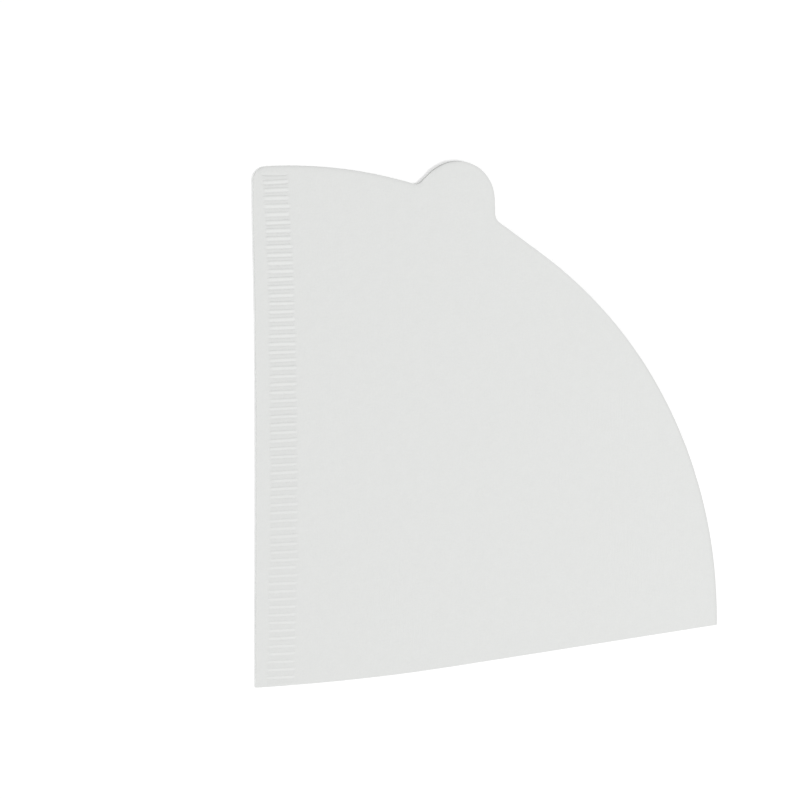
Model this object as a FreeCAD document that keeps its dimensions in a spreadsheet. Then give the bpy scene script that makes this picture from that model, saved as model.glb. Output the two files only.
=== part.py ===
import FreeCAD, Part
import math
import os
import Sketcher

# A cone coffee filter as it comes: one sheet of filter paper folded in two along the +X edge, closed along the +Y edge by
# a crimped seam, and die-cut through both plies along the rim, with a small round pull tab.
#
# While it is built, the outer edge of the fold is on the X axis, the centre of the rim beside the seam is on the Y axis, the
# seam edge runs along +Y just outside that axis, and the filter lies on its lower ply, on z = 0. Its Placement then brings
# the middle of its footprint to the origin.

doc = FreeCAD.newDocument("coffee_filter")
V = FreeCAD.Vector

# ---------------------------------------------------------------- sizes, in millimetres and degrees
sizes = doc.addObject("Spreadsheet::Sheet", "Sizes")
cells = [
    ("paper_ply", 0.21, "thickness of one ply of paper"),
    ("seam_rim_radius", 120.79, "rim between the seam and the tab"),
    ("seam_rim_up", 0.2, "centre of that rim, above the fold's outer edge"),
    ("seam_allowance", 1.3, "how far the seam edge lies outside the centre of that rim"),
    ("main_rim_radius", 124.02, "rim from the fold towards the tab"),
    ("main_rim_back", 0.91, "centre of that rim, from the centre of the seam rim away from the fold's end"),
    ("main_rim_below", 4.14, "centre of that rim, below the fold's outer edge"),
    ("main_rim_turn", 54.05, "angle at which that rim ends and runs on straight to the tab"),
    ("rim_corner", 3.0, "rounded corner of seam and rim"),
    ("tab_turn", 24.47, "direction of the tab, from the seam edge"),
    ("tab_out", 119.3, "distance of the tab's round end from the centre of the seam rim"),
    ("tab_round", 10.26, "radius of the tab's round end"),
    ("tab_flare", 26.6, "slope of each side of the tab"),
    ("tab_root_seam", 2.0, "root radius on the seam side"),
    ("tab_root_fold", 2.9, "root radius on the fold side"),
    ("tip_rise", 2.3, "how far the fold edge curves up at the tip"),
    ("tip_run", 51.3, "length over which it curves"),
    ("seam_width", 10.9, "bonded width beside the seam edge"),
    ("crease_width", 0.9, "width over which the plies touch beside the fold"),
    ("pocket_turn", 0.8, "turn of the pocket's edge towards the fold, in degrees"),
    ("mouth_lift", 1.3, "how far the upper ply stands off the lower one in the middle of the mouth"),
    ("mouth_reach", 120.0, "distance from the tip of the pocket at which that is measured"),
    ("crimp_pitch", 1.8325, "spacing of the crimp bars along the seam"),
    ("crimp_bars", 64, "number of crimp bars"),
    ("crimp_first", 3.86, "height of the middle of the first bar above the fold's outer edge"),
    ("crimp_margin", 3.1, "plain margin between the seam edge and the bars"),
    ("crimp_length", 6.8, "length of a bar"),
    ("crimp_lean", 3.2, "slope of the bars, down towards the fold, from square to the seam edge"),
    ("ridge_width", 0.96, "width of a raised bar"),
    ("ridge_height", 0.17, "height of a raised bar"),
    ("groove_width", 0.72, "width of the groove under it"),
    ("groove_depth", 0.14, "depth of the groove under it"),
]
for row, (alias, value, note) in enumerate(cells, start=1):
    sizes.set("A%d" % row, alias.replace("_", " "))
    sizes.set("B%d" % row, str(value))
    sizes.set("C%d" % row, note)
    sizes.setAlias("B%d" % row, alias)
doc.recompute()


def size(alias):
    return float(sizes.get(alias))


def bind(thing, path, text):
    """Binds a property or a sketch constraint to cells of the sheet: every name of the sheet in text is looked up."""
    for alias in sorted((c[0] for c in cells), key=len, reverse=True):
        text = text.replace("@" + alias, "Sizes." + alias)
    thing.setExpression(path, text)


def ruled(sketch, name, text, *what):
    """Adds a dimension to a sketch and binds it to the sheet."""
    n = sketch.addConstraint(Sketcher.Constraint(*what))
    sketch.renameConstraint(n, name)
    bind(sketch, "Constraints." + name, text)
    return n


# ---------------------------------------------------------------- the die-cut outline
# Its lower side is the inner line of the fold, one ply above the outer edge of the fold, because the round of the fold
# itself is added below it.
t = size("paper_ply")
turn, flare = math.radians(size("tab_turn")), math.radians(size("tab_flare"))
axis = V(math.sin(turn), math.cos(turn), 0)  # along the tab, away from the tip
side = V(math.cos(turn), -math.sin(turn), 0)  # across it, towards the fold
seam_centre, seam_r, allowance = V(0, size("seam_rim_up"), 0), size("seam_rim_radius"), size("seam_allowance")
tab_centre = seam_centre + axis * size("tab_out")
main_centre = V(-size("main_rim_back"), -size("main_rim_below"), 0)
main_r, main_turn = size("main_rim_radius"), math.radians(size("main_rim_turn"))
tab_r = size("tab_round")
# tangent points of the tab's sloping sides on its round end, and the directions in which the sides run down to the rim
touch_fold = tab_centre + side * (tab_r * math.cos(flare)) + axis * (tab_r * math.sin(flare))
touch_seam = tab_centre - side * (tab_r * math.cos(flare)) + axis * (tab_r * math.sin(flare))
down_fold = side * math.sin(flare) - axis * math.cos(flare)
down_seam = side * (-math.sin(flare)) - axis * math.cos(flare)


def beside(touch, down, root_r):
    """A point root_r outside a sloping side of the tab, square to where the side touches the round end."""
    out = V(-down.y, down.x, 0)
    if out.dot(touch - tab_centre) < 0:
        out = out * -1
    return touch + out * root_r


# the root on the seam side: its centre lies root_s outside the side and root_s outside the rim circle
root_s = size("tab_root_seam")
start = beside(touch_seam, down_seam, root_s) - seam_centre
b, c = start.dot(down_seam), start.dot(start) - (seam_r + root_s) ** 2
down_by = -b - math.sqrt(b * b - c)
hub_s, side_s = seam_centre + start + down_seam * down_by, touch_seam + down_seam * down_by
rim_s = seam_centre + (hub_s - seam_centre) * (seam_r / (seam_r + root_s))
# the root on the fold side: its centre lies root_f outside the side and root_f outside the straight run of the rim
root_f = size("tab_root_fold")
outward = V(math.cos(main_turn), math.sin(main_turn), 0)
run_start = main_centre + outward * main_r
start = beside(touch_fold, down_fold, root_f)
down_by = (root_f - (start - run_start).dot(outward)) / down_fold.dot(outward)
hub_f, side_f = start + down_fold * down_by, touch_fold + down_fold * down_by
rim_f = hub_f - outward * root_f

corner = size("rim_corner")
inward = corner - allowance
hub_c = seam_centre + V(inward, math.sqrt((seam_r - corner) ** 2 - inward**2), 0)
rim_c = seam_centre + (hub_c - seam_centre) * (seam_r / (seam_r - corner))
rim_end = V(main_centre.x + math.sqrt(main_r**2 - (t - main_centre.y) ** 2), t, 0)
run, rise = size("tip_run"), size("tip_rise")
bend = (run * run + rise * rise) / (2 * rise)  # radius of the curve of the fold edge at the tip


def arc(centre, radius, a, b):
    """The arc from a to b counter-clockwise about centre."""
    angles = [math.atan2(p.y - centre.y, p.x - centre.x) for p in (a, b)]
    if angles[1] < angles[0]:
        angles[1] += 2 * math.pi
    return Part.ArcOfCircle(Part.Circle(centre, V(0, 0, 1), radius), angles[0], angles[1])


outline = doc.addObject("Sketcher::SketchObject", "outline")
tip = V(-allowance, t + rise, 0)
seam_top = V(-allowance, hub_c.y, 0)
fold_start = V(run - allowance, t, 0)
bend_hub = V(run - allowance, t + bend, 0)
G = outline.addGeometry(
    [
        Part.LineSegment(fold_start, rim_end),  # 0 fold
        arc(main_centre, main_r, rim_end, run_start),  # 1 main rim
        arc(hub_f, root_f, side_f, rim_f),  # 2 root of the tab, fold side
        Part.LineSegment(side_f, touch_fold),  # 3 side of the tab
        arc(tab_centre, tab_r, touch_fold, touch_seam),  # 4 round end of the tab
        Part.LineSegment(touch_seam, side_s),  # 5 other side of the tab
        arc(hub_s, root_s, rim_s, side_s),  # 6 root of the tab, seam side
        arc(seam_centre, seam_r, rim_s, rim_c),  # 7 rim beside the seam
        arc(hub_c, corner, rim_c, seam_top),  # 8 rounded corner
        Part.LineSegment(seam_top, tip),  # 9 seam edge
        arc(bend_hub, bend, tip, fold_start),  # 10 curve of the fold at the tip
        Part.LineSegment(run_start, rim_f),  # 11 straight run of the main rim
    ],
    False,
)
C = Sketcher.Constraint
START, END, MID = 1, 2, 3
outline.addConstraint(
    [
        C("Tangent", 10, END, 0, START),
        C("Coincident", 0, END, 1, START),
        C("Horizontal", 0),
        C("Tangent", 1, END, 11, START),
        C("Tangent", 11, END, 2, END),
        C("Tangent", 2, START, 3, START),
        C("Tangent", 3, END, 4, START),
        C("Tangent", 4, END, 5, START),
        C("Tangent", 5, END, 6, END),
        C("Tangent", 6, START, 7, START),
        C("Tangent", 7, END, 8, START),
        C("Tangent", 8, END, 9, START),
        C("Vertical", 9),
        C("Coincident", 9, END, 10, START),
        C("PointOnObject", 7, MID, -2),
    ]
)
ruled(outline, "fold_line", "@paper_ply", "DistanceY", -1, 1, 0, START, t)
ruled(outline, "seam_line", "@seam_allowance", "DistanceX", 9, END, -1, 1, allowance)
ruled(outline, "tip_run", "@tip_run", "DistanceX", 9, END, 0, START, run)
ruled(outline, "tip_rise", "@tip_rise", "DistanceY", 0, START, 9, END, rise)
ruled(outline, "seam_rim", "@seam_rim_radius", "Radius", 7, seam_r)
ruled(outline, "seam_rim_up", "@seam_rim_up", "DistanceY", -1, 1, 7, MID, seam_centre.y)
ruled(outline, "main_rim", "@main_rim_radius", "Radius", 1, main_r)
ruled(outline, "main_back", "@main_rim_back", "DistanceX", 1, MID, -1, 1, -main_centre.x)
ruled(outline, "main_below", "@main_rim_below", "DistanceY", 1, MID, -1, 1, -main_centre.y)
ruled(outline, "main_turn", "(90 + @main_rim_turn) * 1 deg", "Angle", 11, math.pi / 2 + main_turn)
ruled(outline, "corner", "@rim_corner", "Radius", 8, corner)
ruled(outline, "tab_round", "@tab_round", "Radius", 4, tab_r)
ruled(outline, "tab_across", "@tab_out * sin(@tab_turn * 1 deg)", "DistanceX", 7, MID, 4, MID, tab_centre.x)
up_to_tab = tab_centre.y - seam_centre.y
ruled(outline, "tab_up", "@tab_out * cos(@tab_turn * 1 deg)", "DistanceY", 7, MID, 4, MID, up_to_tab)
ruled(outline, "root_seam", "@tab_root_seam", "Radius", 6, root_s)
ruled(outline, "root_fold", "@tab_root_fold", "Radius", 2, root_f)
# the sloping sides of the tab, each as an angle from the fold's direction
for name, line, a, b, text in (
    ("side_fold", 3, side_f, touch_fold, "(90 - @tab_turn + @tab_flare) * 1 deg"),
    ("side_seam", 5, touch_seam, side_s, "(270 - @tab_turn - @tab_flare) * 1 deg"),
):
    ruled(outline, name, text, "Angle", line, math.atan2(b.y - a.y, b.x - a.x) % (2 * math.pi))
doc.recompute()


# ---------------------------------------------------------------- the two plies
def extrusion(name, sketch, height):
    """A prism of a sketch, from z = 0 up to height."""
    e = doc.addObject("Part::Extrusion", name)
    e.Base = sketch
    e.DirMode = "Custom"
    e.Dir = V(0, 0, 1)
    e.Solid = True
    bind(e, "LengthFwd", height)
    return e


def flat_cone(name, level):
    """The ply's cone: a very flat cone with its point at the tip of the pocket, whose surface meets the level z = level
    along two lines, one beside the fold and one beside the seam, and stands mouth_lift above it half way between them.
    The line beside the fold draws nearer to it from the tip on, because there the fold edge curves up."""
    c = doc.addObject("Part::Cone", name)
    c.Radius1 = 0
    bind(c, "Height", "6 mm")
    # rise of the cone half way between the lines, as an angle; its axis leans that far that both lines are level
    rise_angle = "atan(@mouth_lift / @mouth_reach)"
    lean = "atan((cos(%s) - cos(45 deg + @pocket_turn * 0.5 deg)) / sin(%s))" % (rise_angle, rise_angle)
    bind(c, "Radius2", "6 mm * tan(%s + %s)" % (lean, rise_angle))
    bind(c, "Placement.Base.x", "@seam_width - @seam_allowance")
    fold_bend = "(@tip_run ^ 2 + @tip_rise ^ 2) / (2 * @tip_rise)"
    fold_up = "(%s - sqrt((%s) ^ 2 - (@tip_run - @seam_width) ^ 2))" % (fold_bend, fold_bend)
    bind(c, "Placement.Base.y", "@paper_ply + @crease_width + " + fold_up)
    bind(c, "Placement.Base.z", level)
    # the cone opens downward along its axis, which leans towards the middle of the mouth
    rise_r = math.atan(size("mouth_lift") / size("mouth_reach"))
    half_turn = math.radians(size("pocket_turn")) / 2
    lean_r = math.atan((math.cos(rise_r) - math.cos(math.pi / 4 + half_turn)) / math.sin(rise_r))
    ahead = math.pi / 4 - half_turn  # half way between the lines
    down = V(math.cos(lean_r) * math.cos(ahead), math.cos(lean_r) * math.sin(ahead), -math.sin(lean_r))
    turn_to = FreeCAD.Rotation(V(0, 0, 1), down)
    c.Placement = FreeCAD.Placement(c.Placement.Base, turn_to)
    return c


def slab(name, start, length, level):
    """A square slab of room over the sheet, from the level up, with a corner at x = y = start."""
    box = doc.addObject("Part::Box", name)
    for path, text in (
        ("Length", length),
        ("Width", length),
        ("Height", "@mouth_lift * 2 + 1"),
        ("Placement.Base.x", start),
        ("Placement.Base.y", start),
        ("Placement.Base.z", level),
    ):
        bind(box, path, text)
    return box


blank = extrusion("blank", outline, "2 * @paper_ply + @mouth_lift * 2")

top_cone = flat_cone("top_of_upper_ply", "2 * @paper_ply")
above = doc.addObject("Part::Cut", "air_above")
above.Base, above.Tool = slab("above_plies", "-20 mm", "220 mm", "2 * @paper_ply"), top_cone

plies = doc.addObject("Part::Cut", "plies")
plies.Base, plies.Tool = blank, above

pocket_cone = flat_cone("underside_of_upper_ply", "@paper_ply")
pocket = doc.addObject("Part::Common", "pocket")
pocket.Base, pocket.Tool = pocket_cone, slab("above_lower_ply", "0 mm", "200 mm", "@paper_ply")

pouch = doc.addObject("Part::Cut", "pouch")
pouch.Base, pouch.Tool = plies, pocket

# ---------------------------------------------------------------- the fold
# The paper turns through half a circle, one ply in radius, along the straight edge and round its curve at the tip.
fold_path = doc.addObject("Sketcher::SketchObject", "fold_path")
fold_path.addGeometry([Part.LineSegment(rim_end, fold_start), arc(bend_hub, bend, tip, fold_start)], False)
fold_path.addConstraint([C("Tangent", 0, END, 1, END), C("Horizontal", 0)])
ruled(fold_path, "fold_line", "@paper_ply", "DistanceY", -1, 1, 0, END, t)
ruled(fold_path, "seam_line", "@seam_allowance", "DistanceX", 1, START, -1, 1, allowance)
ruled(fold_path, "tip_run", "@tip_run", "DistanceX", 1, START, 0, END, run)
ruled(fold_path, "tip_rise", "@tip_rise", "DistanceY", 0, END, 1, START, rise)
ruled(
    fold_path,
    "fold_end",
    "sqrt(@main_rim_radius ^ 2 - (@paper_ply + @main_rim_below) ^ 2) - @main_rim_back",
    "DistanceX",
    -1,
    1,
    0,
    START,
    rim_end.x,
)

fold_section = doc.addObject("Sketcher::SketchObject", "fold_section")
fold_section.Placement = FreeCAD.Placement(V(0, 0, 0), FreeCAD.Rotation(V(1, 1, 1), 120))  # the plane x = constant
bind(fold_section, "Placement.Base.x", "fold_path.Constraints.fold_end")
fold_section.addGeometry(
    [
        Part.ArcOfCircle(Part.Circle(V(t, t, 0), V(0, 0, 1), t), math.pi / 2, 3 * math.pi / 2),
        Part.LineSegment(V(t, 0, 0), V(t, 2 * t, 0)),
    ],
    False,
)
fold_section.addConstraint(
    [
        C("Coincident", 0, START, 1, END),
        C("Coincident", 0, END, 1, START),
        C("Vertical", 1),
        C("PointOnObject", 0, MID, 1),
        C("PointOnObject", 1, START, -1),
    ]
)
ruled(fold_section, "turn_radius", "@paper_ply", "Radius", 0, t)
ruled(fold_section, "turn_line", "@paper_ply", "DistanceX", -1, 1, 0, MID, t)
doc.recompute()

fold_round = doc.addObject("Part::Sweep", "fold_round")
fold_round.Sections = [fold_section]
fold_round.Spine = (fold_path, ["Edge1", "Edge2"])
fold_round.Solid = True
fold_round.Frenet = False

past_seam = doc.addObject("Part::Box", "past_seam_edge")
for path, text in (("Length", "5 mm"), ("Width", "20 mm"), ("Height", "5 mm")):
    bind(past_seam, path, text)
past_seam.Placement.Base = V(-5, -5, -1)
bind(past_seam, "Placement.Base.x", "-5 - @seam_allowance")
fold = doc.addObject("Part::Cut", "fold")
fold.Base, fold.Tool = fold_round, past_seam

folded = doc.addObject("Part::Fuse", "folded_sheet")
folded.Base, folded.Tool = pouch, fold
folded.Refine = True
doc.recompute()

# ---------------------------------------------------------------- the crimped seam
# A toothed roller presses short bars across the seam: each is a ridge on the upper ply with a groove under it.
filter_body = doc.addObject("PartDesign::Body", "paper_filter")
filter_body.Label = "paper_filter"
filter_body.BaseFeature = folded
doc.recompute()


def origin_plane(role):
    return next(f for f in filter_body.Origin.OriginFeatures if f.Role == role)


def bar_sketch(name, width, height, level, up, end):
    """The section of a crimp bar, on a plane square to the bar at one of its ends: an arc of the given width and height
    over a foot that reaches 0.1 mm into the sheet (a ridge) or out of its underside (a groove). The plane is the YZ plane
    moved to that end of the bar and turned by the bar's lean."""
    k = filter_body.newObject("Sketcher::SketchObject", name)
    k.AttachmentSupport = [(origin_plane("YZ_Plane"), "")]
    k.MapMode = "FlatFace"
    k.AttachmentOffset = FreeCAD.Placement(V(0, 0, 0), FreeCAD.Rotation(V(0, -1, 0), -size("crimp_lean")))
    middle = "@crimp_margin + @crimp_length / 2 - @seam_allowance"
    bind(k, "AttachmentOffset.Base.x", "@crimp_first - %d * sin(@crimp_lean * 1 deg) * @crimp_length / 2" % end)
    bind(k, "AttachmentOffset.Base.z", "%s + %d * cos(@crimp_lean * 1 deg) * @crimp_length / 2" % (middle, end))
    bind(k, "AttachmentOffset.Rotation.Angle", "@crimp_lean * 1 deg")
    w, d, z = size(width), size(height), 2 * t if up else 0.0
    r = (w * w / 4 + d * d) / (2 * d)
    hub = V(0, z + d - r, 0)
    half = math.asin(w / 2 / r)
    left, right, foot = -w / 2, w / 2, z - 0.1
    k.addGeometry(
        [
            Part.ArcOfCircle(Part.Circle(hub, V(0, 0, 1), r), math.pi / 2 - half, math.pi / 2 + half),
            Part.LineSegment(V(left, z, 0), V(left, foot, 0)),
            Part.LineSegment(V(left, foot, 0), V(right, foot, 0)),
            Part.LineSegment(V(right, foot, 0), V(right, z, 0)),
        ],
        False,
    )
    k.addConstraint(
        [
            C("Coincident", 0, END, 1, START),
            C("Coincident", 1, END, 2, START),
            C("Coincident", 2, END, 3, START),
            C("Coincident", 3, END, 0, START),
            C("Vertical", 1),
            C("Vertical", 3),
            C("Horizontal", 2),
            C("Horizontal", 0, START, 0, END),
            C("PointOnObject", 0, MID, -2),
        ]
    )
    ruled(k, "bar_width", "@" + width, "DistanceX", 2, START, 2, END, w)
    hub_level = "%s + @%s - (@%s ^ 2 / 4 + @%s ^ 2) / (2 * @%s)" % (level, height, width, height, height)
    if hub.y > 0:
        ruled(k, "bar_hub", hub_level, "DistanceY", -1, 1, 0, MID, hub.y)
    else:
        ruled(k, "bar_hub", "-(%s)" % hub_level, "DistanceY", 0, MID, -1, 1, -hub.y)
    if up:
        ruled(k, "bar_level", level, "DistanceY", -1, 1, 1, START, z)
    else:
        k.addConstraint(C("PointOnObject", 1, START, -1))
    k.addConstraint(C("DistanceY", 1, END, 1, START, 0.1))
    doc.recompute()
    return k


ridge_section = bar_sketch("ridge_section", "ridge_width", "ridge_height", "2 * @paper_ply", True, -1)
ridge = filter_body.newObject("PartDesign::Pad", "crimp_ridge")
ridge.Profile = ridge_section
bind(ridge, "Length", "@crimp_length")
doc.recompute()
groove_section = bar_sketch("groove_section", "groove_width", "groove_depth", "0", False, 1)
groove = filter_body.newObject("PartDesign::Pocket", "crimp_groove")
groove.Profile = groove_section
bind(groove, "Length", "@crimp_length")
doc.recompute()
ridge_adds, groove_takes = ridge.Shape.Volume - folded.Shape.Volume, ridge.Shape.Volume - groove.Shape.Volume

bars = filter_body.newObject("PartDesign::LinearPattern", "crimp_bars")
bars.Originals = [ridge, groove]
bars.Direction = (next(f for f in filter_body.Origin.OriginFeatures if f.Role == "Y_Axis"), [""])
bind(bars, "Length", "@crimp_pitch * (@crimp_bars - 1)")
bind(bars, "Occurrences", "@crimp_bars")
filter_body.Tip = bars

# the middle of the footprint, which reaches from the seam edge to the end of the fold and from the fold to the highest
# point of the rounded corner, comes to the origin
bind(filter_body, "Placement.Base.x", "(@seam_allowance * 1 mm - fold_path.Constraints.fold_end) / 2")
bind(
    filter_body,
    "Placement.Base.y",
    "-(@seam_rim_up + sqrt((@seam_rim_radius - @rim_corner) ^ 2 - (@rim_corner - @seam_allowance) ^ 2) + @rim_corner) / 2",
)
doc.recompute()

# ---------------------------------------------------------------- tests, then the file
failed = [o.Name for o in doc.Objects if any(state in ("Invalid", "Error") for state in o.State)]
if failed:
    raise RuntimeError("not recomputed: " + ", ".join(failed))
loose = [o.Name for o in doc.Objects if o.TypeId == "Sketcher::SketchObject" and not o.FullyConstrained]
if loose:
    raise RuntimeError("sketches with open degrees of freedom: " + ", ".join(loose))
if ridge_adds < 0.3 or groove_takes < 0.2:
    raise RuntimeError("a crimp bar adds %.3f and takes %.3f cubic mm" % (ridge_adds, groove_takes))
shape = filter_body.Shape
if shape.isNull() or not shape.isValid() or len(shape.Solids) != 1 or not shape.Solids[0].isClosed():
    raise RuntimeError("paper_filter is not one valid closed solid")
count = int(size("crimp_bars"))
expected = folded.Shape.Volume + count * (ridge_adds - groove_takes)
if abs(shape.Volume - expected) > 0.02 * count:
    raise RuntimeError("the crimp is not whole: %.2f cubic mm, not %.2f" % (shape.Volume, expected))
box = shape.optimalBoundingBox(False, False)
print("paper_filter %.2f x %.2f x %.2f mm, %.1f cubic mm" % (box.XLength, box.YLength, box.ZLength, shape.Volume))
print("x %.4f..%.4f y %.4f..%.4f z %.4f..%.4f" % (box.XMin, box.XMax, box.YMin, box.YMax, box.ZMin, box.ZMax))
face_area = Part.Face(outline.Shape.Wires[0]).Area
print("paper in the sheet: %.0f square mm" % (2 * face_area + math.pi * t * fold_path.Shape.Length))

os.makedirs("parts", exist_ok=True)
for body in (filter_body,):
    body.Shape.exportStep("parts/%s.step" % body.Label)
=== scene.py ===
"""A cone coffee filter of white paper, lying flat as it comes out of the pack.

One sheet, folded in two along +X, closed along +Y by a crimped seam, die-cut round the rim with a small round pull tab.
The CAD solid is replaced by a finer mesh of the same sheet: both plies with the pocket between them, the cut edges, the
turn of the fold and every bar of the seam. Lengths are in millimetres from the centre of the rim beside the seam, which
lies a hair above the fold and just inside the pointed tip, until the mesh is written.
"""

import math

import bpy
import numpy as np
from mathutils import Matrix, Vector
from mathutils.geometry import delaunay_2d_cdt


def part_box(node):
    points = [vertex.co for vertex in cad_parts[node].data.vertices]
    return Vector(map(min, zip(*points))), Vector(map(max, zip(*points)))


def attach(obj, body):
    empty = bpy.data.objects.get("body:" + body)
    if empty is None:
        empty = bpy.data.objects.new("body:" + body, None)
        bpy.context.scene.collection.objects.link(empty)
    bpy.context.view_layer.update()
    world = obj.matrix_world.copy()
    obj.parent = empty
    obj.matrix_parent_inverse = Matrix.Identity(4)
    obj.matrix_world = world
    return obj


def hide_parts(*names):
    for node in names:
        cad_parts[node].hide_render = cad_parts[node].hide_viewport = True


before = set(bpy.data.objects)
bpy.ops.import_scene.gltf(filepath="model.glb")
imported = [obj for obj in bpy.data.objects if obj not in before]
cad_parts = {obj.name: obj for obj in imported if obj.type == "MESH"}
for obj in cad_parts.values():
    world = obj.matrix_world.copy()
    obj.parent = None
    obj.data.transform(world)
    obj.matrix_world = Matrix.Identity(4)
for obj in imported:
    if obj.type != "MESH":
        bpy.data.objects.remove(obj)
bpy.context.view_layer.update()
node_low, node_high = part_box("paper_filter")
ALLOWANCE, UP = 1.3, 0.2  # from the seam edge and the fold's outer edge to the centre of the rim beside the seam, in mm
ORIGIN = np.array(node_low) * 1000.0 + [ALLOWANCE, UP, 0]  # that centre
rng = np.random.default_rng(2064)

# ------------------------------------------------------------------ camera
camera = bpy.data.objects.new("camera", bpy.data.cameras.new("camera"))
bpy.context.scene.collection.objects.link(camera)
camera.data.lens = 148.719
camera.data.sensor_width = 36.0
camera.data.clip_start, camera.data.clip_end = 0.02, 20.0
right = Vector((0.87996851, -0.00237213, 0.4750261))
up = Vector((0.10022079, 0.97840594, -0.1807695))
back = right.cross(up).normalized()
up = back.cross(right).normalized()
right = up.cross(back).normalized()
place = Matrix((right, up, back)).transposed().to_4x4()
place.translation = Vector((-0.37585928, 0.16079225, 0.65055731))
camera.matrix_world = place
bpy.context.scene.camera = camera

# ------------------------------------------------------------------ sizes, as in the CAD source
PLY = 0.21
FOLD = PLY - UP  # the inner line of the fold
SEAM_R, MAIN_R = 120.79, 124.02
MAIN_C = np.array([-0.91, -4.34])
MAIN_TURN = math.radians(54.05)
CORNER = 3.0
TAB_TURN, TAB_OUT, TAB_R, FLARE = math.radians(24.47), 119.3, 10.26, math.radians(26.6)
ROOT_SEAM, ROOT_FOLD = 2.0, 2.9
RUN, RISE = 51.3, 2.3
PITCH, BARS, FIRST = 1.8325, 65, 1.9575  # the roller also marks the fold's edge, below the first whole bar
AXIS = np.array([math.sin(TAB_TURN), math.cos(TAB_TURN)])
SIDE = np.array([math.cos(TAB_TURN), -math.sin(TAB_TURN)])
TAB_C = AXIS * TAB_OUT
CUT = 0.03  # how far the knife rounds an edge of a ply


def smooth(x):
    x = np.clip(x, 0.0, 1.0)
    return x * x * (3 - 2 * x)


def waves(seed, count, shortest, longest):
    """A smooth random field over the sheet, about -1 to 1, as a sum of sines that differ in direction and length."""
    r = np.random.default_rng(seed)
    turn = r.uniform(0, math.pi, count)
    k = 2 * math.pi / r.uniform(shortest, longest, count)
    phase = r.uniform(0, 2 * math.pi, count)
    size = r.uniform(0.5, 1.0, count)
    size /= np.sqrt((size**2).sum() / 2) * 1.6

    def at(x, y):
        total = np.zeros_like(x, dtype=float)
        for a, b, c, d in zip(turn, k, phase, size):
            total += d * np.sin(b * (x * math.cos(a) + y * math.sin(a)) + c)
        return total

    return at


# ------------------------------------------------------------------ the die-cut outline, anticlockwise from the fold
def beside(touch, down, r):
    out = np.array([-down[1], down[0]])
    return touch + r * (out if out @ (touch - TAB_C) > 0 else -out)


touch_f = TAB_C + SIDE * (TAB_R * math.cos(FLARE)) + AXIS * (TAB_R * math.sin(FLARE))
touch_s = TAB_C - SIDE * (TAB_R * math.cos(FLARE)) + AXIS * (TAB_R * math.sin(FLARE))
down_f = SIDE * math.sin(FLARE) - AXIS * math.cos(FLARE)
down_s = -SIDE * math.sin(FLARE) - AXIS * math.cos(FLARE)
start = beside(touch_s, down_s, ROOT_SEAM)
down_by = -(start @ down_s) - math.sqrt((start @ down_s) ** 2 - start @ start + (SEAM_R + ROOT_SEAM) ** 2)
hub_s, side_s = start + down_s * down_by, touch_s + down_s * down_by
rim_s = hub_s * (SEAM_R / (SEAM_R + ROOT_SEAM))
outward = np.array([math.cos(MAIN_TURN), math.sin(MAIN_TURN)])
run_start = MAIN_C + outward * MAIN_R
start = beside(touch_f, down_f, ROOT_FOLD)
down_by = (ROOT_FOLD - (start - run_start) @ outward) / (down_f @ outward)
hub_f, side_f = start + down_f * down_by, touch_f + down_f * down_by
rim_f = hub_f - outward * ROOT_FOLD
hub_c = np.array([CORNER - ALLOWANCE, math.sqrt((SEAM_R - CORNER) ** 2 - (CORNER - ALLOWANCE) ** 2)])
rim_c = hub_c * (SEAM_R / (SEAM_R - CORNER))
rim_end = np.array([MAIN_C[0] + math.sqrt(MAIN_R**2 - (FOLD - MAIN_C[1]) ** 2), FOLD])
BEND = (RUN * RUN + RISE * RISE) / (2 * RISE)
BEND_X = RUN - ALLOWANCE
fold_start = np.array([BEND_X, FOLD])
tip = np.array([-ALLOWANCE, FOLD + RISE])
seam_top = np.array([-ALLOWANCE, hub_c[1]])

rim_pts, rim_nrm, rim_cut = [], [], []  # points, outward normals, and whether the stretch after each point is a cut edge


def lay(points, normals, cut):
    rim_pts.extend(points[:-1])
    rim_nrm.extend(normals[:-1])
    rim_cut.extend([cut] * (len(points) - 1))


def line(a, b, step, cut):
    n = max(1, round(np.linalg.norm(b - a) / step))
    d = (b - a) / np.linalg.norm(b - a)
    lay([a + (b - a) * i / n for i in range(n + 1)], [np.array([d[1], -d[0]])] * (n + 1), cut)


def arc(c, r, a, b, step, cut, bulges=True):
    """From a to b about c: anticlockwise where the paper bulges out, clockwise in a root."""
    p, q = (math.atan2(*(v - c)[::-1]) for v in (a, b))
    if bulges and q < p:
        q += 2 * math.pi
    if not bulges and q > p:
        q -= 2 * math.pi
    n = max(2, round(abs(q - p) * r / step))
    turn = np.linspace(p, q, n + 1)
    ray = np.stack([np.cos(turn), np.sin(turn)], 1)
    lay(list(c + r * ray), list(ray if bulges else -ray), cut)


line(fold_start, rim_end, 0.6, False)
arc(MAIN_C, MAIN_R, rim_end, run_start, 0.42, True)
line(run_start, rim_f, 0.42, True)
arc(hub_f, ROOT_FOLD, rim_f, side_f, 0.2, True, bulges=False)
line(side_f, touch_f, 0.4, True)
arc(TAB_C, TAB_R, touch_f, touch_s, 0.36, True)
line(touch_s, side_s, 0.4, True)
arc(hub_s, ROOT_SEAM, side_s, rim_s, 0.12, True, bulges=False)
arc(np.zeros(2), SEAM_R, rim_s, rim_c, 0.4, True)
arc(hub_c, CORNER, rim_c, seam_top, 0.25, True)
line(seam_top, tip, 0.38, True)
arc(np.array([BEND_X, FOLD + BEND]), BEND, tip, fold_start, 0.6, False)
rim_pts, rim_nrm, rim_cut = np.array(rim_pts), np.array(rim_nrm), np.array(rim_cut)
N = len(rim_pts)
at_end = int(np.argmin(np.linalg.norm(rim_pts - rim_end, axis=1)))
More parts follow.
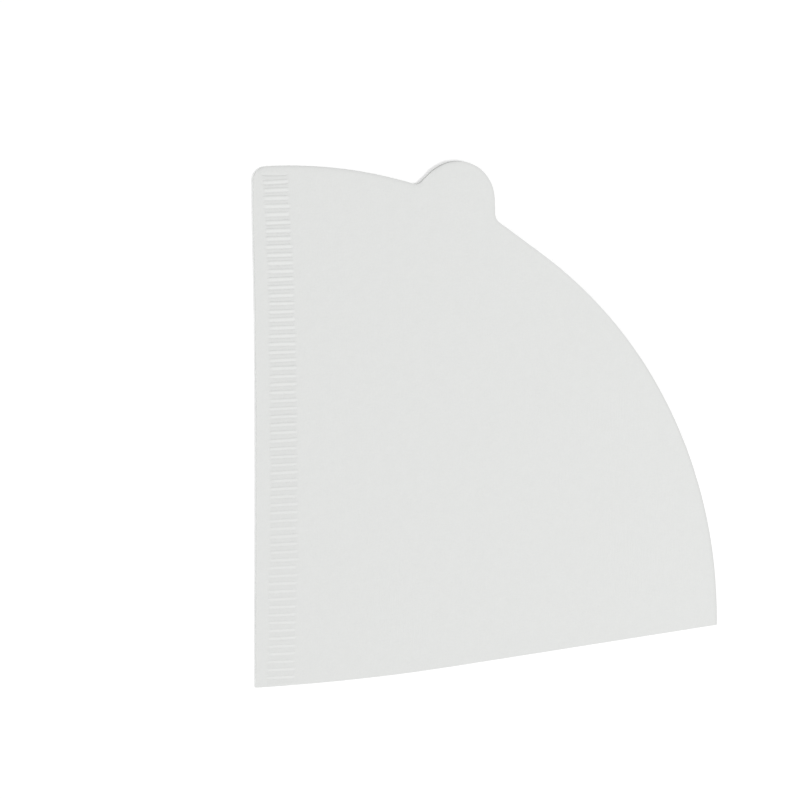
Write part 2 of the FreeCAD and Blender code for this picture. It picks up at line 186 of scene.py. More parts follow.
at_tip = int(np.argmin(np.linalg.norm(rim_pts - tip, axis=1)))
# the seam edge isn't cut quite straight: it runs in by up to half a millimetre between its ends, as the bars do
edge_y, edge_in = (2, 15, 30, 50, 70, 88, 100, 110, 121), (-0.62, -0.50, -0.25, 0.05, 0.28, 0.34, 0.22, 0.12, 0.14)
near_seam = smooth(1.3 - (rim_pts[:, 0] + ALLOWANCE) / 5)
rim_pts[:, 0] += np.interp(rim_pts[:, 1], edge_y, edge_in) * near_seam
rim_nrm[at_tip] = (-1.0, 0.0)  # both ends of the fold are seen as the knife left them
cut_point = rim_cut | np.roll(rim_cut, 1)

# the knife leaves a slightly uneven edge
ragged = waves(5, 24, 0.9, 7.0)(rim_pts[:, 0], rim_pts[:, 1]) * 0.014 + rng.normal(0, 0.006, N)
rim_pts = rim_pts + rim_nrm * (ragged * cut_point)[:, None]
ring = rim_pts - rim_nrm * (CUT * cut_point)[:, None]  # where the faces of a ply end and the edge's rounding starts


def from_rim(p, stretches):
    """Distance of each point from the given stretches of the rim."""
    a, b = ring[stretches], np.roll(ring, -1, 0)[stretches]
    d = b - a
    dd = (d**2).sum(1)
    out = np.empty(len(p))
    for i in range(0, len(p), 2000):
        q = p[i : i + 2000, None] - a[None]
        f = np.clip((q * d).sum(2) / dd, 0, 1)
        out[i : i + 2000] = np.sqrt(((q - f[..., None] * d) ** 2).sum(2)).min(1)
    return out


def inside(p, loop):
    """Which points lie inside a closed loop."""
    a, b = loop, np.roll(loop, -1, 0)
    out = np.zeros(len(p), bool)
    for i in range(0, len(p), 4000):
        x, y = p[i : i + 4000, 0][:, None], p[i : i + 4000, 1][:, None]
        over = (a[:, 1] > y) != (b[:, 1] > y)
        with np.errstate(divide="ignore", invalid="ignore"):
            at = a[:, 0] + (y - a[:, 1]) / (b[:, 1] - a[:, 1]) * (b[:, 0] - a[:, 0])
        out[i : i + 4000] = (over & (x < at)).sum(1) % 2 == 1
    return out


# ------------------------------------------------------------------ the bars of the seam
# A toothed roller has pressed them, so they are alike but not equal: the strip wanders, and each bar has its own
# height, width, tilt and ends.
bar = np.arange(BARS)
even = FIRST + PITCH * bar
drift = np.interp(
    even,
    (2, 3.8, 5.6, 10, 26, 40, 55, 70, 85, 100, 112, 119),
    (-0.24, -0.18, -0.15, -0.15, -0.04, -0.06, 0.02, 0.03, 0.03, -0.02, -0.10, -0.20),
)
drift += np.interp(
    even, (10, 25, 40, 54, 69, 84, 98, 109, 116), (0.02, -0.08, -0.085, -0.05, -0.03, 0.0, 0.015, -0.03, -0.045)
)
bar_y = even + drift + rng.normal(0, 0.020, BARS)  # at x = MID
MID = 5.2
left_y = (3.5, 5.5, 10, 22, 33, 50, 70, 85, 94, 101, 108, 118)
left_x = (0.85, 0.98, 1.15, 1.50, 2.00, 2.33, 2.40, 2.38, 2.33, 2.08, 1.70, 1.36)
right_y = (3.5, 9, 17, 31, 56, 68, 79, 91, 102, 106, 111.6, 117.6)
right_x = (7.95, 7.75, 8.2, 8.60, 8.70, 8.80, 8.8, 8.45, 8.1, 7.7, 7.45, 7.1)
bar_l = np.interp(bar_y, left_y, left_x) + rng.normal(0, 0.10, BARS)
bar_r = np.interp(bar_y, right_y, right_x) + rng.normal(0, 0.14, BARS)
taper_l, taper_r = rng.uniform(0.30, 0.75, BARS), rng.uniform(0.25, 0.65, BARS)  # half the length over which a bar ends
bar_tilt = np.interp(even, (5, 10, 26, 40, 55, 100, 112), (-0.100, -0.095, -0.080, -0.062, -0.055, -0.055, -0.050))
bar_tilt = bar_tilt + rng.normal(0, 0.006, BARS)
bar_sag = rng.normal(0, 0.0025, BARS)
# how hard the roller bore, and how sharply it creased the paper beside each bar; the same numbers also set the painted
# highlight on the bars and the painted shade in the creases
pressed = np.interp(even, (4, 14, 36, 58, 80, 104, 118), (0.68, 0.71, 0.52, 0.90, 1.04, 1.26, 1.22))
creased = np.interp(even, (4, 14, 36, 58, 80, 104, 118), (0.36, 0.36, 0.56, 0.74, 1.03, 1.22, 1.20))
bar_high = 0.175 * (0.30 + 0.70 * pressed) * (1 + rng.normal(0, 0.06, BARS))
bar_half = 0.50 * np.interp(even, (13, 35, 57, 78, 95, 105), (0.84, 0.84, 0.82, 0.92, 1.02, 1.04))
bar_half = bar_half * (1 + rng.normal(0, 0.03, BARS))
crease_low = 0.040 * creased * (1 + rng.normal(0, 0.22, BARS)).clip(0.4, 1.5)
crease_up = 0.040 * creased * (1 + rng.normal(0, 0.22, BARS)).clip(0.4, 1.5)
crease_up *= np.interp(even, (4, 24, 33, 52, 66, 90, 104), (1.35, 1.35, 1.45, 1.45, 1.05, 1.0, 0.88))
# how much painted highlight the top of each bar gets
bar_highlight = np.interp(even, (13, 31, 49, 68, 86, 104), (1.15, 0.92, 0.84, 0.80, 1.0, 0.90))
flat_shade = np.interp(even, (13, 31, 49, 68, 86, 104), (0.33, 0.39, 0.48, 0.46, 0.34, 0.37))  # painted shade on the paper between two bars
bar_high[0], bar_highlight[0], bar_tilt[0] = bar_high[0] * 0.4, 0.4, -0.06
# at the rim the roller ran out: the last but one bar is askew, and of the last only the lower crease shows
bar_tilt[-2] = -0.018
bar_y[-1] += 0.15
bar_high[-1] *= 0.30
bar_highlight[-1] = 0.15
crease_low[-1] = 0.095
crease_up[-1] = 0.0
bar_l[-1] -= 0.3
bar_tilt[-1] = -0.045


def bar_line(k, x):
    """Height above the fold of the middle of bar k at x."""
    d = x - MID
    return bar_y[k] + bar_tilt[k] * d + bar_sag[k] * (d * d - 4)


def reach(k, x):
    """How much of its full size bar k has at x: 1 along its length, 0 past its ends."""
    return smooth((x - bar_l[k] + taper_l[k]) / (2 * taper_l[k])) * smooth((bar_r[k] - x + taper_r[k]) / (2 * taper_r[k]))


def nearest_bar(x, y):
    k = np.clip(np.round((y - FIRST) / PITCH), 0, BARS - 1).astype(int)
    for shift in (-1, 1):
        other = np.clip(k + shift, 0, BARS - 1)
        k = np.where(np.abs(y - bar_line(other, x)) < np.abs(y - bar_line(k, x)), other, k)
    return k


def relief(x, y):
    """What the roller adds to the upper face, what it takes from the lower one, how much it has pressed the paper, the
    painted highlight on the bars' tops and the painted shade in the creases and between the bars.
    """
    k = nearest_bar(x, y)
    u = y - bar_line(k, x)
    v = np.abs(u)
    fade = reach(k, x)
    half = bar_half[k] * (0.70 + 0.30 * fade)
    hump = np.maximum(1 - (v / half) ** 2.2, 0) ** 0.95
    low = half + 0.055  # the middle of the crease beside the bar
    valley = np.exp(-(((v - low) / 0.065) ** 2))
    crease = np.where(u > 0, crease_up[k], crease_low[k]) * valley
    over = smooth((x - bar_l[k] + 0.55) / 0.8) * smooth((bar_r[k] - x + 0.55) / 0.8)  # the pressed strip, bars and all
    over = over * smooth((bar_line(BARS - 1, x) + 0.10 - y) / 0.45)
    flat = smooth((v - low) / 0.25)
    rise = bar_high[k] * hump * fade - crease * over + (0.014 * flat - 0.026) * over
    groove = np.maximum(1 - (v / (half * 0.86)) ** 2.2, 0)
    hollow = 0.145 * (bar_high[k] / 0.175) * groove * fade + 0.012 * over
    depth = np.where(u > 0, crease_up[k], crease_low[k]) / 0.04 / creased[k]
    # painted shade: darker in the creases beside each bar and on the paper between the bars
    shade = (valley * (0.4 + 0.6 * depth) * creased[k] + flat_shade[k] * (v > low) * (1 - valley)) * over
    return rise, hollow, over, hump**1.3 * fade * pressed[k] * bar_highlight[k], shade


# ------------------------------------------------------------------ how the sheet lies
wave_gap, wave_lie, wave_both = waves(11, 7, 34, 80), waves(12, 9, 22, 60), waves(13, 16, 7, 16)


def bond(y):
    """How far the plies hold together beside the seam edge."""
    return np.interp(y, right_y, right_x) + 0.85 + 0.10 * np.sin(y / 2.9 + 0.6) + 0.06 * np.sin(y / 1.3)


def heights(p):
    """For each point of the sheet: underside and upper side of the lower ply, and of the upper ply."""
    x, y = p[:, 0], p[:, 1]
    r = np.hypot(x, y)
    turn = np.arctan2(np.maximum(y, 0), np.maximum(x, 1e-6))
    along = p @ AXIS
    across = p @ SIDE
    tab = smooth((along - 114.5) / 15) * np.exp(-((across / 10.5) ** 4))
    # the lower ply rests on its two straight sides and is a little off the table in between
    lower = r / 120 * (0.17 * np.sin(2 * turn) ** 2 + 0.035 * (1 + np.sin(6 * turn + 0.9)) * np.sin(2 * turn) ** 2)
    lower += 0.012 * (1 + wave_both(x, y)) * smooth(r / 20) + 0.012 * (1 + wave_lie(x, y)) * smooth(r / 40)
    lower += 0.13 * tab
    # the pocket: shut at the seam, where the upper ply leaves the bond level, and sprung a little at the fold
    fold_y = FOLD + BEND - np.sqrt(BEND**2 - np.maximum(BEND_X - x, 0) ** 2)
    dx, dy = np.maximum(x - bond(y), 0), np.maximum(y - fold_y - 0.12, 0)
    part = np.arctan2(dy, np.maximum(dx, 1e-9)) / (math.pi / 2)
    h = 6.75 * part * (1 - part) ** 2
    gap = 1.08 / 118 * np.hypot(dx, dy) * h * (1 + 0.13 * wave_gap(x, y))
    gap = np.where((dx > 0) & (dy > 0), gap, 0)
    gap += 0.30 * tab**1.5 * (gap > 0)
    # along the cut edge of the seam the plies part by a hair
    d_cut = from_rim(p, rim_cut)
    d_fold = from_rim(p, ~rim_cut)
    lip = np.maximum(1 - d_cut / 0.56, 0) ** 2 * smooth(d_fold / 0.8) * (0.055 + 0.02 * wave_lie(x * 4, y * 4))
    lip = np.where(lip > 1e-4, lip, 0)
    gap = gap + lip
    gap = np.where(gap > 1e-4, gap, 0)
    rise, hollow, over, ridge_highlight_and_gloss, crease = relief(x, y)
    bottom = lower + hollow
    lower_top = lower + PLY - 0.35 * lip
    upper_under = lower_top + gap
    top = lower + PLY + gap + PLY + rise - 0.35 * lip
    return bottom, lower_top, upper_under, top, gap, over, ridge_highlight_and_gloss, crease


# ------------------------------------------------------------------ points over the sheet
cloud = []


def add(points):
    cloud.append(np.asarray(points, float).reshape(-1, 2))


# two rows beside the rim, so that the faces meet the edges cleanly
for inset, every in ((0.22, 1), (0.62, 1), (1.25, 2)):
    add((rim_pts - rim_nrm * inset)[::every])

steps = np.array([0.0, 0.12, 0.23, 0.33, 0.41, 0.465, 0.505, 0.545, 0.595, 0.665, 0.77])
rows = []  # (bar, offset) of each row of points across the strip
for k in range(BARS):
    if k == 0:
        rows += [(k, -s) for s in (0.98, *steps[:0:-1])]
    rows += [(k, s) for s in steps]
    if k < BARS - 1:
        rows += [(k, None)]
        rows += [(k + 1, -s) for s in steps[:0:-1]]
    else:
        rows += [(k, 0.95)]
strip_y0, strip_y1 = bar_y[0] - 0.95, bar_y[-1] + 0.9
for n, (k, s) in enumerate(rows):
    if s is None:
        l, r = (bar_l[k] + bar_l[k + 1]) / 2, (bar_r[k] + bar_r[k + 1]) / 2
        tl, tr = 0.5, 0.45
    else:
        l, r, tl, tr = bar_l[k], bar_r[k], taper_l[k], taper_r[k]
    xs = [l - tl - 0.3, l - tl, l - tl * 0.5, l, l + tl * 0.5, l + tl]
    xs += list(np.linspace(l + tl, r - tr, 8)[1:-1])
    xs += [r - tr, r - tr * 0.5, r, r + tr * 0.5, r + tr]
    if n % 2 == 0:
        xs.append(r + tr + 0.4)
    if n % 4 == 0:
        xs += [r + tr + 1.0]
    if n % 8 == 0:
        xs += [r + tr + 1.8]
    xs = np.array(xs)
    if s is None:
        ys = (bar_line(k, xs) + bar_line(k + 1, xs)) / 2
    else:
        # the rows close in on a bar where it narrows towards its ends
        fade = reach(k, xs)
        ys = bar_line(k, xs) + s * (1 + (bar_half[k] / 0.50 * (0.70 + 0.30 * fade) - 1) * smooth((0.8 - abs(s)) / 0.25))
    add(np.stack([xs, ys], 1))
crimp_points = len(cloud)


def lattice(x0, x1, y0, y1, step):
    n_x, n_y = int((x1 - x0) / step) + 1, int((y1 - y0) / (step * 0.866)) + 1
    ix, iy = np.meshgrid(np.arange(n_x), np.arange(n_y))
    return np.stack([x0 + (ix + 0.5 * (iy % 2)) * step, y0 + iy * step * 0.866], -1).reshape(-1, 2)


strip = lambda p, grow: (
    (p[:, 1] > strip_y0 - grow)
    & (p[:, 1] < strip_y1 + grow)
    & (p[:, 0] > np.interp(p[:, 1], left_y, left_x) - 0.5 - grow)
    & (p[:, 0] < np.interp(p[:, 1], right_y, right_x) + 2.5 + grow)
)
fine = lattice(-1.7, 14.0, 0.3, 122.0, 0.85)
fine = fine[~strip(fine, 0.3)]
coarse = lattice(14.2, 124.0, 0.3, 130.0, 1.75)
fold_row = lattice(10.0, 122.0, 1.6, 3.4, 1.0)
free = np.vstack([fine, fold_row, coarse])

grid = np.vstack(cloud)
points = np.vstack([ring, grid, free])
kind = np.concatenate([np.zeros(N, int), np.ones(len(grid), int), np.full(len(free), 2)])
keep = np.zeros(len(points), bool)
keep[:N] = True
body_pts = points[N:]
ok = inside(body_pts, ring)
gap_to_rim = from_rim(body_pts, np.ones(N, bool))
ok &= gap_to_rim > np.where(kind[N:] == 2, 1.5, 0.16)
ok &= ~((kind[N:] == 2) & (body_pts[:, 0] < 14.1) & (gap_to_rim < 0.9))
keep[N:] = ok
points, kind = points[keep], kind[keep]

# points that crowd each other are thinned, the rim's own and the first ones laid staying
cell = 0.055
seen, chosen = {}, []
for i, (x, y) in enumerate(points):
    cx, cy = int(math.floor(x / cell)), int(math.floor(y / cell))
    near = False
    if i >= N:
        for ax in (cx - 1, cx, cx + 1):
            for ay in (cy - 1, cy, cy + 1):
                for j in seen.get((ax, ay), ()):
                    if (points[j, 0] - x) ** 2 + (points[j, 1] - y) ** 2 < (0.024 if kind[i] == 1 else 0.05) ** 2:
                        near = True
    if not near:
        seen.setdefault((cx, cy), []).append(i)
        chosen.append(i)
points = points[chosen]

found = delaunay_2d_cdt([Vector(p) for p in points], [], [list(range(N))], 1, 1e-6, True)
flat = np.array([v[:] for v in found[0]], float)
tris = np.array(found[2])
if len(flat) != len(points) or np.abs(flat[:N] - points[:N]).max() > 1e-4:
    raise RuntimeError(f"the triangulation has {len(flat)} points for {len(points)}")
P = points
tris = tris[inside(P[tris].mean(1), ring)]
a, b, c = P[tris[:, 0]], P[tris[:, 1]], P[tris[:, 2]]
area2 = (b[:, 0] - a[:, 0]) * (c[:, 1] - a[:, 1]) - (b[:, 1] - a[:, 1]) * (c[:, 0] - a[:, 0])
tris[area2 < 0] = tris[area2 < 0][:, ::-1]
sheet_area = float(np.abs(area2).sum() / 2)

# ------------------------------------------------------------------ the sheet's faces
# the last two are the painted highlight on the bars' tops and the painted shade in the creases and between the bars
bottom, lower_top, upper_under, top, gap, over, ridge_highlight_and_gloss, crease = heights(P)
M = len(P)
is_open = gap > 0
is_open[[at_end, at_tip]] = False
verts, press, paint = [], [], []


def layer(z, xy=P):
    start = sum(len(v) for v in verts)
    verts.append(np.column_stack([xy, z]))
    return start


top_0 = layer(top)
bottom_0 = layer(bottom)
inner_u = np.full(M, -1)
inner_l = np.full(M, -1)
pocket = is_open[tris].any(1)  # the triangles between which there is room
used = np.unique(tris[pocket])
opened = used[is_open[used]]
shut = used[~is_open[used]]
s = layer(upper_under[opened], P[opened])
inner_u[opened] = s + np.arange(len(opened))
s = layer(lower_top[opened], P[opened])
inner_l[opened] = s + np.arange(len(opened))
s = layer((lower_top[shut] + upper_under[shut]) / 2, P[shut])
inner_u[shut] = inner_l[shut] = s + np.arange(len(shut))
for name, i in (("fold's end", at_end), ("tip", at_tip)):
    if inner_u[i] < 0:
        raise RuntimeError(f"the {name} has no inner point")

faces3 = [tris + top_0, tris[:, ::-1] + bottom_0, inner_u[tris[pocket]][:, ::-1], inner_l[tris[pocket]]]
faces4 = []


def column(z, spread, indices):
    """A row of points along stretches of the rim, spread outwards from where the faces end."""
    start = sum(len(v) for v in verts)
    xy = ring[indices] + rim_nrm[indices] * np.asarray(spread, float).reshape(-1, 1)
    verts.append(np.column_stack([xy, z]))
    out = np.full(N, -1)
    out[indices] = start + np.arange(len(indices))
    return out


def wall(upper, lower, stretches):
    i, j = stretches, (stretches + 1) % N
    faces4.append(np.stack([upper[j], upper[i], lower[i], lower[j]], 1))


cut_i = np.where(cut_point)[0]
cut_s = np.where(rim_cut)[0]
fuzz = lambda: rng.normal(0, 0.007, len(cut_i))
row_t, row_b = top_0 + np.arange(N), bottom_0 + np.arange(N)
row_u, row_l = inner_u[:N], inner_l[:N]
u1 = column(top[cut_i] - 0.05, CUT + fuzz(), cut_i)
u2 = column((top[cut_i] + upper_under[cut_i]) / 2 - 0.005, CUT * 1.15 + fuzz(), cut_i)
u3 = column(upper_under[cut_i] + 0.045, CUT * 0.9 + fuzz(), cut_i)
l1 = column(lower_top[cut_i] - 0.045, CUT * 0.9 + fuzz(), cut_i)
l2 = column((lower_top[cut_i] + bottom[cut_i]) / 2, CUT * 1.15 + fuzz(), cut_i)
l3 = column(bottom[cut_i] + 0.05, CUT + fuzz(), cut_i)
for upper, lower in zip((row_t, u1, u2, u3), (u1, u2, u3, row_u)):
    wall(upper, lower, cut_s)
for upper, lower in zip((row_l, l1, l2, l3), (l1, l2, l3, row_b)):
    wall(upper, lower, cut_s)

# the fold: the paper turns through half a circle, a little unevenly
fold_s = np.where(~rim_cut)[0]
fold_i = np.unique(np.concatenate([fold_s, (fold_s + 1) % N]))
fold_n = rim_nrm[fold_i].copy()
fold_n[fold_i == at_end] = (0.0, -1.0)
bend_hub = np.array([BEND_X, FOLD + BEND])
fold_n[fold_i == at_tip] = (tip - bend_hub) / np.linalg.norm(tip - bend_hub)
crush = 1 + 0.05 * waves(21, 14, 1.5, 9)(ring[fold_i, 0], ring[fold_i, 1]) + rng.normal(0, 0.01, len(fold_i))
turns = 9
fold_rows = [row_t]
for step in range(1, turns):
    angle = math.pi / 2 - math.pi * step / turns
    z_mid, z_half = (top[fold_i] + bottom[fold_i]) / 2, (top[fold_i] - bottom[fold_i]) / 2
    start = sum(len(v) for v in verts)
    reach = PLY * (math.cos(angle) ** 0.9) * crush
    verts.append(np.column_stack([ring[fold_i] + fold_n * reach[:, None], z_mid + z_half * math.sin(angle)]))
    out = np.full(N, -1)
    out[fold_i] = start + np.arange(len(fold_i))
    fold_rows.append(out)
fold_rows.append(row_b)
for upper, lower in zip(fold_rows, fold_rows[1:]):
    wall(upper, lower, fold_s)

# the two ends of the fold, where the knife went through its turn
caps = []
for i, downward in ((at_end, False), (at_tip, True)):
    turn_down = [r[i] for r in fold_rows]
    edge_up = [row_b[i], l3[i], l2[i], l1[i], row_u[i], u3[i], u2[i], u1[i], row_t[i]]
    loop = turn_down[:-1] + edge_up[:-1] if not downward else edge_up[::-1][:-1] + turn_down[::-1][:-1]
    n = fold_n[fold_i == i][0]
    start = sum(len(v) for v in verts)
    middle = ring[i] + rim_nrm[i] * CUT + n * PLY * 0.45
    verts.append(np.array([[middle[0], middle[1], (top[i] + bottom[i]) / 2]]))
    caps += [(p, q, start) for p, q in zip(loop, loop[1:] + loop[:1])]
faces3.append(np.array(caps))

V = np.vstack(verts)
V[:, 2] -= V[:, 2].min()
T = np.vstack(faces3)
Q = np.vstack(faces4)

# every edge has one face on each side, turned the same way
edges = np.vstack([T[:, [0, 1]], T[:, [1, 2]], T[:, [2, 0]], Q[:, [0, 1]], Q[:, [1, 2]], Q[:, [2, 3]], Q[:, [3, 0]]])
key = edges[:, 0].astype(np.int64) * len(V) + edges[:, 1]
back_key = edges[:, 1].astype(np.int64) * len(V) + edges[:, 0]
if len(np.unique(key)) != len(key) or not np.isin(back_key, key).all():
    bad = ~np.isin(back_key, key)
    print(len(key), "edges,", len(key) - len(np.unique(key)), "twice,", bad.sum(), "open, at", V[edges[bad][:6, 0]].round(2).tolist())
    raise RuntimeError("the sheet's mesh isn't closed")

mesh = bpy.data.meshes.new("filter_paper")
corner_count = np.concatenate([np.full(len(T), 3), np.full(len(Q), 4)])
corners = np.concatenate([T.ravel(), Q.ravel()]).astype(np.int32)
mesh.vertices.add(len(V))
mesh.vertices.foreach_set("co", ((V + ORIGIN * [1, 1, 0]) / 1000.0).astype(np.float32).ravel())
mesh.loops.add(len(corners))
mesh.loops.foreach_set("vertex_index", corners)
mesh.polygons.add(len(corner_count))
mesh.polygons.foreach_set("loop_start", np.concatenate([[0], np.cumsum(corner_count)[:-1]]).astype(np.int32))
mesh.polygons.foreach_set("use_smooth", np.ones(len(corner_count), bool))
mesh.update(calc_edges=True)

# the knife's edges stay crisp, everything else is shaded smooth
crisp = set()
for row in (row_t, row_u, row_l, row_b):
    for i in cut_s:
        p, q = int(row[i]), int(row[(i + 1) % N])
        crisp.add((min(p, q), max(p, q)))
for i in (at_end, at_tip):
    loop = [r[i] for r in fold_rows]
    for p, q in zip(loop, loop[1:]):
        crisp.add((min(p, q), max(p, q)))
pairs = np.zeros(len(mesh.edges) * 2, np.int32)
mesh.edges.foreach_get("vertices", pairs)
pairs = np.sort(pairs.reshape(-1, 2), 1)
code = pairs[:, 0].astype(np.int64) * len(V) + pairs[:, 1]
crisp = np.array([p * len(V) + q for p, q in crisp], np.int64)
sharp = mesh.attributes.new("sharp_edge", "BOOLEAN", "EDGE")
sharp.data.foreach_set("value", np.isin(code, crisp))

# what the material reads: a painted highlight on the tops of the bars, which are also less rough, painted shade in the
# creases, between the bars and in the grooves under them, and the cut edges a little darker with painted shade along
# the round rim
per_point_highlight_and_gloss, crease_and_flat_shade, dark_edges_and_rim_shade = np.zeros(len(V)), np.zeros(len(V)), np.ones(len(V))
per_point_highlight_and_gloss[top_0 : top_0 + M] = ridge_highlight_and_gloss
crease_and_flat_shade[top_0 : top_0 + M] = crease
# painted shade in the grooves under the bars
crease_and_flat_shade[bottom_0 : bottom_0 + M] = ridge_highlight_and_gloss * 0.5
dark_edges_and_rim_shade[: int(np.max(inner_u)) + 1] = 0
for r in fold_rows[1:-1]:
    dark_edges_and_rim_shade[r[fold_i]] = 0
# painted shade in a narrow band along the round rim, weakest between the tab and the middle
from_round_rim = from_rim(P, np.where(rim_cut & (rim_nrm @ (0.7, 0.7) > 0.15))[0])
rim_shade_strength = np.interp(np.degrees(np.arctan2(P[:, 1], P[:, 0])), (34.0, 42.0, 58.0, 68.0), (0.9, 0.35, 0.45, 0.9))
dark_edges_and_rim_shade[top_0 : top_0 + M] = rim_shade_strength * np.interp(from_round_rim, (0.0, 0.22, 0.62, 1.2), (5.0, 3.0, 0.6, 0.0))
for name, values in (("ridge_highlight_and_gloss", per_point_highlight_and_gloss), ("crease", crease_and_flat_shade), ("cut", dark_edges_and_rim_shade)):
    layer_ = mesh.attributes.new(name, "FLOAT", "POINT")
    layer_.data.foreach_set("value", values.astype(np.float32))

# where each corner lies on one square sheet of texture, in millimetres: the outside of the paper unfolded about the fold, the
# inside of each ply beside it, and the knife's edges as strips
SIDE, TURN = 258.0, math.pi * PLY
x_of, y_of = V[:, 0] + 4.0, V[:, 1]
middle_v = 124.0


def outside(t, half):
    return np.stack([x_of[t], middle_v + half * (y_of[t] + TURN / 2)], -1)


def within(t, half):
    return np.stack([x_of[t] + 127.0, middle_v + half * (y_of[t] + 1.0)], -1)


n, p = len(tris), int(pocket.sum())
fan = V[T[2 * n + 2 * p :]]  # the caps, seen from outside
fan_uv = np.stack([fan[..., 0] * 0 + (fan[..., 1] - fan[..., 1].mean()) * 3, fan[..., 2] * 3], -1)
fan_uv[..., 1] -= fan_uv[..., 1].min()
half = len(fan) // 2
fan_uv[:half, :, 0] += 235.0
fan_uv[half:, :, 0] += 245.0
fan_uv[..., 1] += 247.5
tri_uv = [outside(T[:n], 1), outside(T[n : 2 * n], -1), within(T[2 * n : 2 * n + p], 1), within(T[2 * n + p : 2 * n + 2 * p], -1)]
tri_uv = np.concatenate(tri_uv + [fan_uv])
length = np.linalg.norm(np.roll(ring, -1, 0) - ring, axis=1)
along = np.concatenate([[0], np.cumsum(length[:-1])])
quad_uv = []
for n_wall in range(8):
    a0, a1 = along[cut_s], along[cut_s] + length[cut_s]
    row = np.floor((a0 - along[cut_s[0]]) / 220.0)
    a0, a1 = a0 - along[cut_s[0]] - row * 220.0 + 3.0, a1 - along[cut_s[0]] - row * 220.0 + 3.0
    v0 = 247.5 + 1.0 * (n_wall % 4) / 4 + row * 1.7 + 4.0 * (n_wall // 4)
    v1 = v0 + 0.25
    quad_uv.append(np.stack([np.stack(c, -1) for c in ((a1, v0), (a0, v0), (a0, v1), (a1, v1))], 1))
for step in range(turns):
    i, j = fold_s, (fold_s + 1) % N
    c = []
    for which, part in ((j, step), (i, step), (i, step + 1), (j, step + 1)):
        v = (y_of[row_t[which]] + TURN / 2) * (1 - 2 * part / turns)
        c.append(np.stack([x_of[row_t[which]], middle_v + v], -1))
    quad_uv.append(np.stack(c, 1))
uv = np.concatenate([tri_uv.reshape(-1, 2), np.concatenate(quad_uv).reshape(-1, 2)]) / SIDE
if uv.min() < 0 or uv.max() > 1 or len(uv) != len(corners):
    raise RuntimeError(f"the texture's layout runs from {uv.min():.3f} to {uv.max():.3f}")
uv_map = mesh.uv_layers.new(name="OFBake")
uv_map.data.foreach_set("uv", uv.astype(np.float32).ravel())

paper = bpy.data.objects.new("filter_paper", mesh)
bpy.context.scene.collection.objects.link(paper)
print("filter_paper:", len(V), "points,", len(T) + 2 * len(Q), "triangles, height", round(float(V[:, 2].max()), 3), "mm")

# ------------------------------------------------------------------ paper
material = bpy.data.materials.new("filter_paper")
material.use_nodes = True
tree = material.node_tree
nodes, links = tree.nodes, tree.links
shader = nodes["Principled BSDF"]


def node(kind, **values):
    n = nodes.new(kind)
    for name, value in values.items():
        if hasattr(n, name):
            setattr(n, name, value)
        else:
            n.inputs[name.replace("_", " ")].default_value = value
    return n


def math_node(operation, a, b=None, clamp=False):
    n = nodes.new("ShaderNodeMath")
    n.operation = operation
    n.use_clamp = clamp
    for i, v in enumerate((a, b)):
        if v is None:
            continue
        if isinstance(v, (int, float)):
            n.inputs[i].default_value = v
        else:
            links.new(v, n.inputs[i])
    return n.outputs[0]


where = nodes.new("ShaderNodeTexCoord").outputs["Object"]
in_mm = nodes.new("ShaderNodeVectorMath")
in_mm.operation = "SCALE"
in_mm.inputs["Scale"].default_value = 1000.0
links.new(where, in_mm.inputs[0])
in_mm = in_mm.outputs[0]


def noise(scale, detail=3.0, rough=0.55, stretch=None, turn=0.0, distortion=0.0):
    """Noise over the paper, its scale in turns a millimetre."""
    source = in_mm
    if stretch is not None:
        m = nodes.new("ShaderNodeMapping")
        m.inputs["Scale"].default_value = stretch
        m.inputs["Rotation"].default_value = (0, 0, turn)
        links.new(source, m.inputs["Vector"])
        source = m.outputs[0]
    n = nodes.new("ShaderNodeTexNoise")
    n.inputs["Scale"].default_value = scale
    n.inputs["Detail"].default_value = detail
    n.inputs["Roughness"].default_value = rough
    n.inputs["Distortion"].default_value = distortion
    links.new(source, n.inputs["Vector"])
    return math_node("SUBTRACT", n.outputs[0], 0.5)


def attribute(name):
    n = nodes.new("ShaderNodeAttribute")
    n.attribute_name = name
    return n.outputs["Fac"]


clouds = noise(0.42, 4.0, 0.6)  # the flocs that a sheet of pulp forms
flocs = noise(1.9, 3.0, 0.6)
grain = noise(7.0, 3.0, 0.65)
fibre_a = noise(1.0, 2.0, 0.5, stretch=(0.7, 9.0, 9.0), turn=0.35, distortion=0.6)
fibre_b = noise(1.0, 2.0, 0.5, stretch=(9.0, 0.8, 9.0), turn=0.2, distortion=0.6)
crepe = noise(1.0, 3.0, 0.55, stretch=(2.6, 0.16, 1.0), turn=0.0, distortion=0.35)

# colour
tone = math_node("MULTIPLY", clouds, 0.038)
tone = math_node("ADD", tone, math_node("MULTIPLY", flocs, 0.036))
tone = math_node("ADD", tone, math_node("MULTIPLY", grain, 0.055))
tone = math_node("ADD", tone, math_node("MULTIPLY", fibre_a, 0.046))
tone = math_node("ADD", tone, math_node("MULTIPLY", fibre_b, 0.046))
# painted highlight on the tops of the bars
tone = math_node("ADD", tone, math_node("MULTIPLY", attribute("ridge_highlight_and_gloss"), 0.062))
# painted shade in the creases and between the bars, and in the grooves under them
tone = math_node("SUBTRACT", tone, math_node("MULTIPLY", attribute("crease"), 0.066))
# cut edges a little darker, and painted shade along the round rim
tone = math_node("SUBTRACT", tone, math_node("MULTIPLY", attribute("cut"), 0.02))
tone = math_node("ADD", tone, 1.0)
colour = nodes.new("ShaderNodeVectorMath")
colour.operation = "SCALE"
colour.inputs[0].default_value = (0.799, 0.8075, 0.796)
links.new(tone, colour.inputs["Scale"])
links.new(colour.outputs[0], shader.inputs["Base Color"])

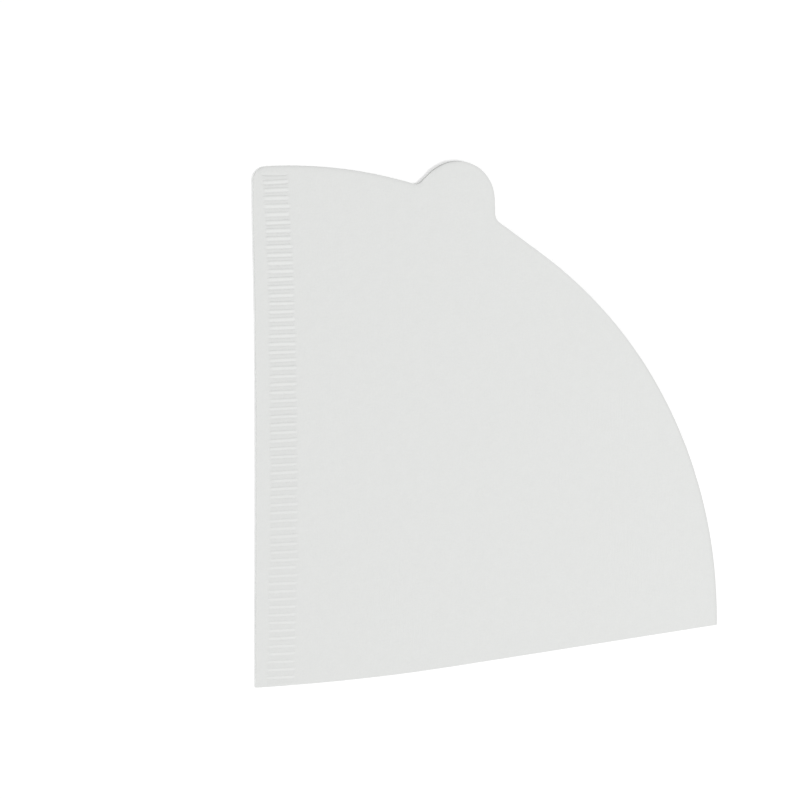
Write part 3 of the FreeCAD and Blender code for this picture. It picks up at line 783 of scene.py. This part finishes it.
# dull, a little less so where the roller has pressed it
rough = math_node("ADD", math_node("MULTIPLY", grain, 0.12), 0.90)
rough = math_node("SUBTRACT", rough, math_node("MULTIPLY", attribute("ridge_highlight_and_gloss"), 0.10), clamp=True)
links.new(rough, shader.inputs["Roughness"])
shader.inputs["Specular IOR Level"].default_value = 0.22
shader.inputs["Sheen Weight"].default_value = 0.06
shader.inputs["Sheen Roughness"].default_value = 0.6

height = math_node("MULTIPLY", crepe, 0.55)
height = math_node("ADD", height, math_node("MULTIPLY", grain, 0.35))
height = math_node("ADD", height, math_node("MULTIPLY", fibre_a, 0.45))
height = math_node("ADD", height, math_node("MULTIPLY", fibre_b, 0.45))
height = math_node("ADD", height, math_node("MULTIPLY", flocs, 0.25))
bump = nodes.new("ShaderNodeBump")
bump.inputs["Strength"].default_value = 0.55
bump.inputs["Distance"].default_value = 0.00007
links.new(height, bump.inputs["Height"])
links.new(bump.outputs[0], shader.inputs["Normal"])
mesh.materials.append(material)

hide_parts("paper_filter")
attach(paper, "root")

# ------------------------------------------------------------------ floor and light
floor_mesh = bpy.data.meshes.new("floor")
floor_mesh.from_pydata([(-3, -3, -2e-5), (3, -3, -2e-5), (3, 3, -2e-5), (-3, 3, -2e-5)], [], [(0, 1, 2, 3)])
floor = bpy.data.objects.new("floor", floor_mesh)
bpy.context.scene.collection.objects.link(floor)
white = bpy.data.materials.new("floor")
white.use_nodes = True
floor_shader = white.node_tree.nodes["Principled BSDF"]
floor_shader.inputs["Base Color"].default_value = (0.93, 0.93, 0.93, 1)
floor_shader.inputs["Roughness"].default_value = 1.0
floor_shader.inputs["Specular IOR Level"].default_value = 0.0
floor_shader.inputs["Emission Color"].default_value = (1, 1, 1, 1)
floor_shader.inputs["Emission Strength"].default_value = 0.185
floor_mesh.materials.append(white)

world = bpy.data.worlds.new("studio")
bpy.context.scene.world = world
world.use_nodes = True
world.node_tree.nodes["Background"].inputs["Color"].default_value = (1, 1, 1, 1)
world.node_tree.nodes["Background"].inputs["Strength"].default_value = 0.62


def softbox(name, place_at, size, power):
    light = bpy.data.lights.new(name, "AREA")
    light.shape = "SQUARE"
    light.size = size
    light.energy = power
    o = bpy.data.objects.new(name, light)
    bpy.context.scene.collection.objects.link(o)
    o.location = place_at
    o.rotation_mode = "QUATERNION"
    o.rotation_quaternion = (Vector((0, 0, 0)) - Vector(place_at)).to_track_quat("-Z", "Y")


softbox("key", (0.75, -0.168, 1.14), 0.50, 7.08)
softbox("fill", (-1.15, 0.05, 0.30), 0.60, 2.6)
bpy.context.scene.view_settings.view_transform = "Standard"
bpy.context.scene.view_settings.look = "None"
bpy.context.scene.view_settings.exposure = 0.0
bpy.context.scene.view_settings.gamma = 1.0
